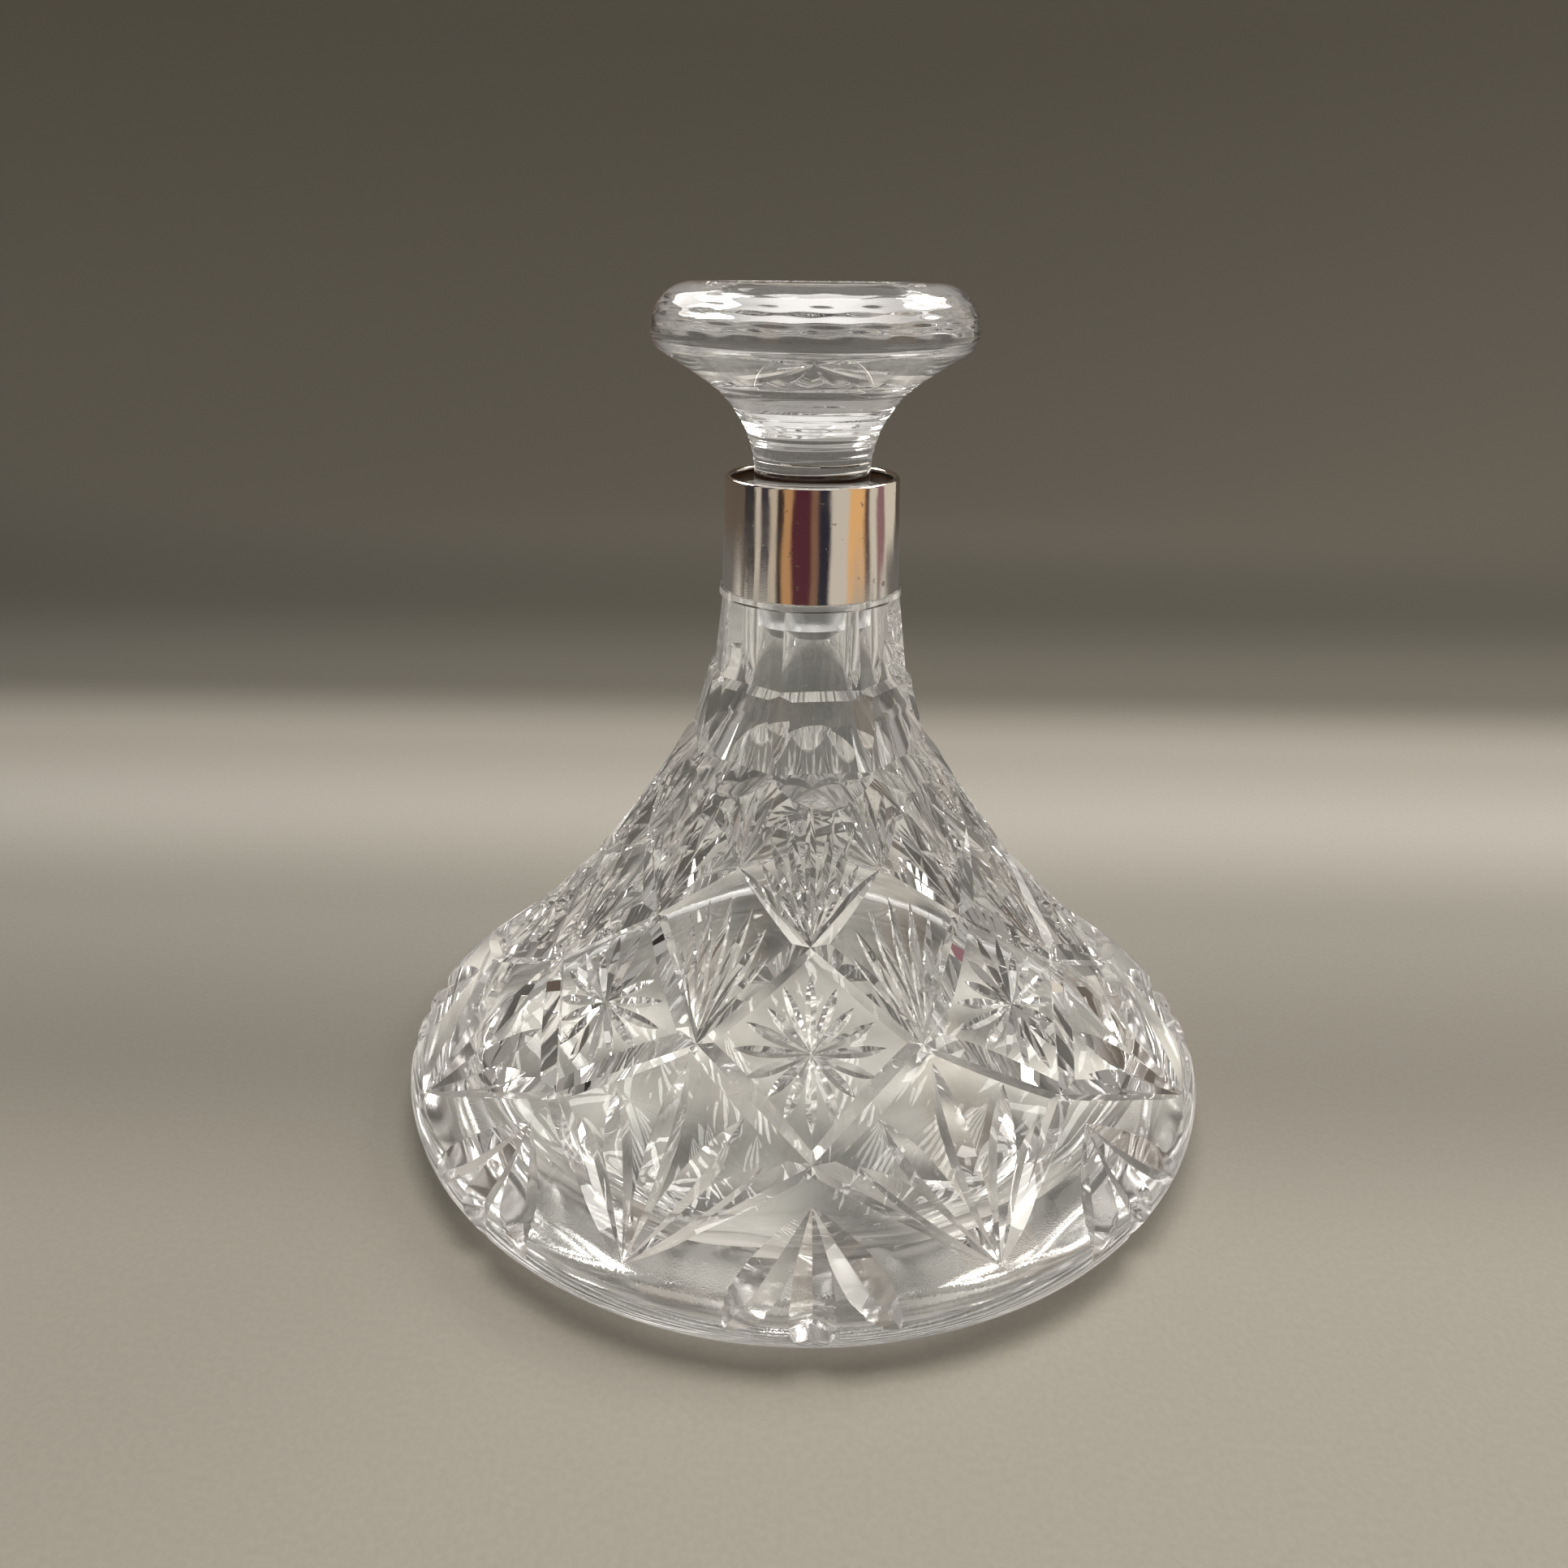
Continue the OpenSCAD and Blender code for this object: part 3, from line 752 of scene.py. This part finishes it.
def bumped(tree, shader, height, strength, distance):
    """Relief into the shader's normal: a height from 0 to 1 times a distance in metres."""
    made = node(tree, "ShaderNodeBump")
    made.inputs["Strength"].default_value = strength
    made.inputs["Distance"].default_value = distance
    link(tree, height, made.inputs["Height"])
    link(tree, made.outputs["Normal"], shader.inputs["Normal"])


STREAK_DRAWN_OUT = (1, 1, 0.12)
STREAK_SHARE = 0.7


def wiped_marks_group():
    """Group: marks of wiping and handling. Broad smears come from slow noise, and fine streaks from
    noise drawn out along the height; Mask is where they lie and Height is their relief."""
    group = bpy.data.node_groups.new("wiped_marks", "ShaderNodeTree")
    for name, kind, way in (
        ("Place", "NodeSocketVector", "INPUT"),
        ("Smear Scale", "NodeSocketFloat", "INPUT"),
        ("Streak Scale", "NodeSocketFloat", "INPUT"),
        ("Mask", "NodeSocketFloat", "OUTPUT"),
        ("Height", "NodeSocketFloat", "OUTPUT"),
    ):
        group.interface.new_socket(name=name, in_out=way, socket_type=kind)
    put_in = node(group, "NodeGroupInput").outputs
    put_out = node(group, "NodeGroupOutput").inputs
    drawn_out = stretched(group, put_in["Place"], STREAK_DRAWN_OUT)
    smear = noise(group, put_in["Place"], put_in["Smear Scale"], detail=4)
    streak = noise(group, drawn_out, put_in["Streak Scale"], detail=2)
    broad = stepped(group, smear, 0.48, 0.68)
    fine = stepped(group, streak, 0.56, 0.7)
    link(group, larger(group, broad, product(group, fine, STREAK_SHARE)), put_out["Mask"])
    link(group, fine, put_out["Height"])
    return group


wiped_marks = wiped_marks_group()


def marks(tree, place, smear_scale, streak_scale):
    """The wiped marks group placed in a material, with its own scales."""
    made = node(tree, "ShaderNodeGroup", node_tree=wiped_marks)
    made.inputs["Smear Scale"].default_value = smear_scale
    made.inputs["Streak Scale"].default_value = streak_scale
    link(tree, place, made.inputs["Place"])
    return made.outputs["Mask"], made.outputs["Height"]


def new_material(name):
    """An empty node material with its shader and output, and the object's own place."""
    material = bpy.data.materials.new(name)
    material.use_nodes = True
    tree = material.node_tree
    tree.nodes.clear()
    out = node(tree, "ShaderNodeOutputMaterial")
    shader = node(tree, "ShaderNodeBsdfPrincipled")
    link(tree, shader.outputs["BSDF"], out.inputs["Surface"])
    place = node(tree, "ShaderNodeTexCoord").outputs["Object"]
    return material, tree, shader, place


# Glass: colours of the pieces, painted shade on cut faces, roughness of wiped marks and of ground faces
BODY_CLEAR = (0.975, 0.985, 0.98, 1)
STOPPER_CLEAR = (0.98, 0.985, 0.985, 1)
CUT_FACE_PAINTED_SHADE = (0.84, 0.83, 0.825, 1)
LEAD_GLASS_IOR = 1.54
WIPED_ROUGHNESS = 0.022
GROUND_ROUGHNESS = 0.18

# Ground faces, in millimetres: each pair is where a frosted zone starts to fade and where it ends
SOCKET_REACH = (15.8, 16.4)
SOCKET_FOOT = (128, 126.5)
SOCKET_FROST = 0.3
RING_WEAR = (0.1, 0.4)
RING_FROST = 0.12
PEG_TOP = (153.5, 157.5)
PEG_FOOT = (PEG_END_Z + PEG_CHAMFER + 0.4, PEG_END_Z + PEG_CHAMFER - 0.1)


def zone(tree, value, fade, level=1.0):
    """The level on the near side of a fade, given in millimetres, and 0 past it."""
    full, gone = fade
    if full < gone:
        return stepped(tree, value, full * MM, gone * MM, level, 0)
    return stepped(tree, value, gone * MM, full * MM, 0, level)


def glass_material(name, colour, ground):
    """Clear lead glass: polished, with faint wiped marks, painted shade that greys the faces of its cuts,
    and frosted where ground(tree, place) is 1."""
    material, tree, shader, place = new_material(name)
    wheel_cut = node(tree, "ShaderNodeAttribute", attribute_name="wheel_cut").outputs["Fac"]
    # The cut faces get a greyer base colour: painted shade
    link(tree, mixed(tree, wheel_cut, colour, CUT_FACE_PAINTED_SHADE), shader.inputs["Base Color"])
    shader.inputs["Transmission Weight"].default_value = 1
    shader.inputs["IOR"].default_value = LEAD_GLASS_IOR
    mask, _ = marks(tree, place, smear_scale=38, streak_scale=160)
    frosted = ground(tree, place)
    polish = product(tree, mask, WIPED_ROUGHNESS)
    link(tree, larger(tree, polish, product(tree, frosted, GROUND_ROUGHNESS)), shader.inputs["Roughness"])
    grit = noise(tree, place, scale=2600, detail=2)
    bumped(tree, shader, product(tree, grit, frosted), strength=0.35, distance=0.00012)
    return material


def ground_socket(tree, place):
    """Frost on the ground taper inside the neck, close to the axis and above the end of the taper, and
    a little on the worn standing ring."""
    _, _, z, r = axes(tree, place)
    taper = product(tree, zone(tree, r, SOCKET_REACH, SOCKET_FROST), zone(tree, z, SOCKET_FOOT))
    return larger(tree, taper, zone(tree, z, RING_WEAR, RING_FROST))


def ground_peg(tree, place):
    """1 on the ground taper of the peg, below the shank and above the polished chamfer of its end."""
    _, _, z, _ = axes(tree, place)
    return product(tree, zone(tree, z, PEG_TOP), zone(tree, z, PEG_FOOT))


# Silver and cement: their colours, and the dark brown inside of the sleeve in millimetres
BRIGHT_SILVER = (0.83, 0.80, 0.75, 1)
TARNISH = (0.34, 0.26, 0.19, 1)
SLEEVE_DARK_BROWN = (0.12, 0.06, 0.03, 1)
DARK_BROWN_REACH = (19.2, 19.5)
DARK_BROWN_TOP = (RIM_Z - 1.3, RIM_Z - 0.6)
PLASTER = (0.80, 0.76, 0.68, 1)
OLD_PLASTER = (0.58, 0.51, 0.42, 1)
CEMENT_DARK_BROWN = (0.13, 0.06, 0.025, 1)
CEMENT_DARK_BROWN_FOOT = (cement_top - 0.5, cement_top - 2)


def silver_material():
    """Polished silver: bright metal with fine scratches, faint wiped marks, small tarnish spots and a
    dull dark brown inside, below the rim."""
    material, tree, shader, place = new_material("polished_silver")
    shader.inputs["Metallic"].default_value = 1
    mask, streak = marks(tree, place, smear_scale=90, streak_scale=420)
    spots = stepped(tree, noise(tree, place, scale=520, detail=2), 0.66, 0.74)
    _, _, z, r = axes(tree, place)
    dark_brown = product(tree, zone(tree, r, DARK_BROWN_REACH), zone(tree, z, DARK_BROWN_TOP))
    spotted = mixed(tree, product(tree, spots, 0.75), BRIGHT_SILVER, TARNISH)
    link(tree, mixed(tree, dark_brown, spotted, SLEEVE_DARK_BROWN), shader.inputs["Base Color"])
    rough = math_node(tree, "MULTIPLY_ADD", mask, 0.07, 0.05)
    rough = math_node(tree, "MULTIPLY_ADD", spots, 0.3, rough)
    link(tree, larger(tree, rough, product(tree, dark_brown, 0.6)), shader.inputs["Roughness"])
    scratches = noise(tree, stretched(tree, place, (900, 900, 9000)), scale=1)
    height = math_node(tree, "MULTIPLY_ADD", streak, 0.4, scratches)
    bumped(tree, shader, height, strength=0.12, distance=0.00006)
    return material


def cement_material():
    """Set plaster cement: matt and pale, mottled and pitted, and dark brown along its top."""
    material, tree, shader, place = new_material("set_cement")
    mottle = noise(tree, place, scale=420, detail=5, rough=0.6)
    pale = mixed(tree, stepped(tree, mottle, 0.4, 0.65), PLASTER, OLD_PLASTER)
    _, _, z, _ = axes(tree, place)
    dark_brown = zone(tree, z, CEMENT_DARK_BROWN_FOOT)
    link(tree, mixed(tree, dark_brown, pale, CEMENT_DARK_BROWN), shader.inputs["Base Color"])
    link(tree, stepped(tree, mottle, 0.3, 0.7, 0.75, 0.95), shader.inputs["Roughness"])
    bumped(tree, shader, noise(tree, place, scale=1500, detail=4), strength=0.5, distance=0.0002)
    return material


body_glass = glass_material("cut_lead_glass", BODY_CLEAR, ground_socket)
stopper_glass = glass_material("stopper_lead_glass", STOPPER_CLEAR, ground_peg)
silver = silver_material()
cement_finish = cement_material()

for piece, body_name, cad_node, slot, finish in (
    (body, "decanter", "decanter_body", "body_glass", body_glass),
    (collar, "decanter", "silver_collar", "silver", silver),
    (cement, "decanter", "collar_cement", "cement", cement_finish),
    (stopper, "stopper", "stopper", "stopper_glass", stopper_glass),
):
    piece.data.materials.clear()
    piece.data.materials.append(finish)
    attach(piece, body_name)
    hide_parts(cad_node)

# Paper sweep around the object: floor, curve and wall in one surface, in millimetres
SWEEP_MIDDLE_R = 30
SWEEP_FLOOR_R = 850
SWEEP_CURVE_R = 450
SWEEP_TOP = 1500
SWEEP_TURNS = 96
FLOOR_DROP = 0.05
sweep_outline = np.concatenate((
    np.linspace((SWEEP_MIDDLE_R, 0), (SWEEP_FLOOR_R, 0), 24),
    arc((SWEEP_FLOOR_R, SWEEP_CURVE_R), SWEEP_CURVE_R, -90, 0, 16)[1:],
    ((SWEEP_FLOOR_R + SWEEP_CURVE_R, SWEEP_TOP),),
))


def sweep_mesh():
    """The sweep's outline turned about Z as an open sheet whose faces look inwards, with its middle
    closed by one pole, just under the object."""
    turn = np.linspace(0, 2 * np.pi, SWEEP_TURNS, endpoint=False)
    grid = np.empty((len(sweep_outline), SWEEP_TURNS, 3))
    grid[..., 0] = sweep_outline[:, :1] * np.cos(turn)
    grid[..., 1] = sweep_outline[:, :1] * np.sin(turn)
    grid[..., 2] = sweep_outline[:, 1:] - FLOOR_DROP
    index = np.arange(len(sweep_outline) * SWEEP_TURNS).reshape(-1, SWEEP_TURNS)
    beside = np.roll(index, -1, axis=1)
    faces = np.stack((index[:-1], index[1:], beside[1:], beside[:-1]), -1).reshape(-1, 4).tolist()
    faces += np.stack((np.full(SWEEP_TURNS, index.size), index[0], beside[0]), -1).tolist()
    points = np.concatenate((grid.reshape(-1, 3), ((0, 0, -FLOOR_DROP),)))
    return add_mesh("paper_sweep", points, faces)


sweep = sweep_mesh()
sweep.data.shade_smooth()

# Paper tones from front to back, with painted light and shade: y over this reach, in metres, is spread over
# 0 to 1
PAPER_REACH = (-0.2, 0.8)
# The pale band behind the object is painted light, and the dip across the place where it stands a painted
# shadow
PAPER_TONES_AND_PAINTED_LIGHT = (
    (0.0, (0.38, 0.355, 0.302)), (0.12, (0.372, 0.346, 0.296)), (0.2, (0.247, 0.23, 0.197)),
    (0.28, (0.3, 0.285, 0.248)), (0.365, (0.455, 0.43, 0.385)), (0.44, (0.37, 0.345, 0.3)),
    (0.53, (0.135, 0.125, 0.102)), (0.7, (0.078, 0.072, 0.055)), (1.0, (0.126, 0.114, 0.091)),
)
# Upright stripes of a room that only the silver mirrors: from left, over the camera's side, to right
ROOM_STRIPES = (
    (0.0, (0.10, 0.07, 0.05)), (0.13, (0.02, 0.015, 0.015)), (0.19, (0.55, 0.48, 0.40)),
    (0.22, (0.03, 0.025, 0.035)), (0.27, (0.5, 0.42, 0.33)), (0.31, (0.03, 0.015, 0.01)),
    (0.34, (0.45, 0.24, 0.1)), (0.395, (0.07, 0.008, 0.018)), (0.5, (0.2, 0.1, 0.06)),
    (0.54, (0.008, 0.008, 0.02)), (0.605, (0.58, 0.52, 0.45)), (0.7, (0.75, 0.42, 0.17)),
    (0.79, (0.1, 0.045, 0.03)), (0.82, (0.6, 0.54, 0.46)), (0.86, (0.24, 0.12, 0.13)),
    (0.9, (0.62, 0.55, 0.46)), (0.965, (0.06, 0.045, 0.03)),
)
# Levels of painted light on the paper under the object and behind it, standing in for the light that the
# cut glass throws, over the same y, with the colour of that light and, in metres, the reach of its wedges
THROWN_LIGHT = (
    (0.0, 0.37), (0.1, 0.34), (0.12, 0.44), (0.135, 0.4), (0.155, 0.25), (0.175, 0.42), (0.19, 0.58),
    (0.225, 0.58), (0.245, 0.32), (0.262, 0.2), (0.285, 0.24), (0.31, 0.38), (0.34, 0.56), (0.38, 0.6),
    (0.44, 0.36), (0.53, 0.12), (1.0, 0.1),
)
THROWN_COLOUR = (1, 0.93, 0.82)
WEDGE_SHARE = 0.5
WEDGE_START = (0.03, 0.055)
WEDGE_END = (0.1, 0.115)
# Edges of the paper as glass and silver see it, and colours of the room past them, which the paper glows
# with
PAPER_FRONT = 0.42
PAPER_HALF_WIDTH = 0.7
PAPER_BACK = 0.3
MIRRORED_ROOM_R = 0.8
WALL_FADE = (0.4, 0.6)
DIM_ROOM = (0.06, 0.055, 0.055, 1)
SIDE_ROOM = (0.4, 0.385, 0.36, 1)
PALE_ROOM = (0.34, 0.32, 0.29, 1)
BLACK = (0, 0, 0, 1)


def room_stripes(tree, place):
    """Upright stripes, a little wavy: the ramp's value is a half plus half of the sine of half the turn
    from the camera's side, to the right or to the left."""
    x, y, _, r = axes(tree, place)
    away = math_node(tree, "ADD", math_node(tree, "DIVIDE", y, r), 1.0)
    half_turn = math_node(tree, "SQRT", product(tree, away, 0.5))
    side = product(tree, math_node(tree, "SIGN", x), half_turn)
    wavy = product(tree, math_node(tree, "SUBTRACT", noise(tree, place, scale=9, detail=2), 0.5), 0.05)
    across = math_node(tree, "ADD", math_node(tree, "MULTIPLY_ADD", side, 0.5, 0.5), wavy)
    return ramp(tree, across, ROOM_STRIPES, "CONSTANT")


def thrown_light(tree, place, spread):
    """Paper in painted light that stands in for what the cut glass throws: bands over y, with eight paler
    wedges under the object, one to the right of each lower fan, and a slow unevenness."""
    x, y, _, r = axes(tree, place)
    red, green, blue = THROWN_COLOUR
    bands = ramp(tree, spread, [(at, (red * v, green * v, blue * v)) for at, v in THROWN_LIGHT])
    round_turn = math_node(tree, "ARCTAN2", x, product(tree, y, -1.0))
    wedges = math_node(tree, "SINE", math_node(tree, "MULTIPLY_ADD", round_turn, REPEATS, math.pi))
    under = product(tree, stepped(tree, r, *WEDGE_START), stepped(tree, r, *WEDGE_END, 1, 0))
    uneven = stepped(tree, noise(tree, place, scale=40, detail=1), 0.36, 0.64, 0.85, 1.15)
    level = math_node(tree, "MULTIPLY_ADD", product(tree, wedges, under), WEDGE_SHARE, uneven)
    return shaded(tree, bands, level)


def sweep_material():
    """Warm grey paper, with a soft band of painted light behind the object, a painted shadow across the
    place where it stands, and darker beyond it. Its tone is a ramp over y. For glass and silver rays the
    paper glows instead, as painted light: without the object's shadow, in painted light standing in for
    what the cut glass throws, with a dim room in front of the paper, a paler one beside it, and a pale
    one above its wall. Only the first mirror ray from the silver meets the upright stripes."""
    material, tree, shader, place = new_material("grey_paper_and_painted_light")
    material.cycles.emission_sampling = "NONE"
    x, y, z, r = axes(tree, place)
    spread = node(tree, "ShaderNodeMapRange")
    spread.inputs["From Min"].default_value, spread.inputs["From Max"].default_value = PAPER_REACH
    link(tree, y, spread.inputs["Value"])
    along = spread.outputs["Result"]
    grain = stepped(tree, noise(tree, place, scale=700, detail=4, rough=0.6), 0.3, 0.7, 0.96, 1.03)
    # The paper's tones hold a painted band of light and a painted shadow
    paper = shaded(tree, ramp(tree, along, PAPER_TONES_AND_PAINTED_LIGHT), grain)

    light_path = node(tree, "ShaderNodeLightPath").outputs
    glossy = light_path["Is Glossy Ray"]
    in_glass = larger(tree, glossy, light_path["Is Transmission Ray"])
    mirrored = product(tree, glossy, math_node(tree, "LESS_THAN", light_path["Ray Depth"], 1.5))

    front = math_node(tree, "LESS_THAN", y, -PAPER_FRONT)
    beside = math_node(tree, "GREATER_THAN", math_node(tree, "ABSOLUTE", x), PAPER_HALF_WIDTH)
    near_side = math_node(tree, "LESS_THAN", y, PAPER_BACK)
    far = product(tree, mirrored, math_node(tree, "GREATER_THAN", r, MIRRORED_ROOM_R))
    beyond = larger(tree, product(tree, larger(tree, front, beside), near_side), far)
    above = product(tree, stepped(tree, z, *WALL_FADE), math_node(tree, "SUBTRACT", 1.0, mirrored))

    plain_room = mixed(tree, front, SIDE_ROOM, DIM_ROOM)
    room = mixed(tree, mirrored, plain_room, room_stripes(tree, place))
    seen = mixed(tree, beyond, thrown_light(tree, place, along), room)
    glow = mixed(tree, above, seen, PALE_ROOM)
    link(tree, mixed(tree, in_glass, paper, BLACK), shader.inputs["Base Color"])
    # For glass and silver rays the paper glows: painted light
    link(tree, mixed(tree, in_glass, BLACK, glow), shader.inputs["Emission Color"])
    shader.inputs["Emission Strength"].default_value = 1
    shader.inputs["Roughness"].default_value = 0.9
    return material


sweep.data.materials.append(sweep_material())

# Room light: its colour and strength, and what glass and silver see on top of that, low and overhead
ROOM_COLOUR = (1.0, 0.96, 0.915, 1)
ROOM_STRENGTH = 0.4
SEEN_LOW = 0.2
SEEN_OVERHEAD = 0.6
OVERHEAD_FADE = (0.8, 1.0)


def room_light():
    """Plain light from all around. In glass and silver it is paler, and palest straight overhead."""
    world = bpy.data.worlds.new("room")
    scene.world = world
    world.use_nodes = True
    tree = world.node_tree
    background = tree.nodes["Background"]
    background.inputs["Color"].default_value = ROOM_COLOUR
    seen_by = node(tree, "ShaderNodeLightPath").outputs
    in_glass = larger(tree, seen_by["Is Glossy Ray"], seen_by["Is Transmission Ray"])
    _, _, height, _ = axes(tree, node(tree, "ShaderNodeTexCoord").outputs["Generated"])
    paler = stepped(tree, height, *OVERHEAD_FADE, SEEN_LOW, SEEN_OVERHEAD)
    strength = math_node(tree, "MULTIPLY_ADD", in_glass, paler, ROOM_STRENGTH)
    link(tree, strength, background.inputs["Strength"])


room_light()

LAMP_COLOUR = (1.0, 0.97, 0.92)
BODY_MIDDLE = (0, 0, 0.08)


def soft_lamp(name, place, target, width, height, watts):
    """A rectangular lamp at a place, in metres, that faces a target."""
    data = bpy.data.lights.new(name, "AREA")
    data.shape = "RECTANGLE"
    data.size, data.size_y = width, height
    data.energy = watts
    data.color = LAMP_COLOUR
    lamp = bpy.data.objects.new(name, data)
    lamp.location = place
    away = np.array(place) - np.array(target)
    lamp.rotation_mode = "QUATERNION"
    lamp.rotation_quaternion = Vector(away).to_track_quat("Z", "Y")
    scene.collection.objects.link(lamp)
    return lamp


# The overhead lamp isn't seen through the glass, and the left one only makes highlights
overhead = soft_lamp("overhead_lamp", (0.04, 0.06, 1.25), (0.04, 0.06, 0), width=0.7, height=0.5, watts=9.5)
overhead.visible_transmission = False
soft_lamp("right_lamp", (0.85, 0.35, 1.0), BODY_MIDDLE, width=0.9, height=0.5, watts=7)
left = soft_lamp("left_lamp", (-0.75, 0.5, 0.8), BODY_MIDDLE, width=0.7, height=0.4, watts=5)
left.visible_diffuse = False

# Camera at the photograph's place, in metres, for a square frame
CAMERA_PLACE = (0, -0.27591, 0.20461)
PITCH = math.radians(23.455)
ROLL = math.radians(0.605)
YAW = math.radians(-1.19)
LENS_PIXELS = 1450
FRAME_PIXELS = 1932
SENSOR_WIDTH = 36


def photo_camera():
    """The camera: it looks along its yaw and pitch, and its right and up are turned by its roll."""
    data = bpy.data.cameras.new("photo_camera")
    data.sensor_width = SENSOR_WIDTH
    data.lens = SENSOR_WIDTH * LENS_PIXELS / FRAME_PIXELS
    data.clip_start = 0.01
    camera = bpy.data.objects.new("photo_camera", data)
    scene.collection.objects.link(camera)
    level = math.cos(PITCH)
    forward = np.array((math.sin(YAW) * level, math.cos(YAW) * level, -math.sin(PITCH)))
    flat_right = np.array((math.cos(YAW), -math.sin(YAW), 0))
    flat_up = np.cross(flat_right, forward)
    right = math.cos(ROLL) * flat_right + math.sin(ROLL) * flat_up
    up = math.cos(ROLL) * flat_up - math.sin(ROLL) * flat_right
    placed = np.eye(4)
    placed[:3, :3] = np.column_stack((right, up, -forward))
    placed[:3, 3] = CAMERA_PLACE
    camera.matrix_world = Matrix(placed.tolist())
    return camera


scene.camera = photo_camera()
scene.view_settings.view_transform = "Standard"
scene.cycles.max_bounces = 32
scene.cycles.transmission_bounces = 28
scene.cycles.glossy_bounces = 24
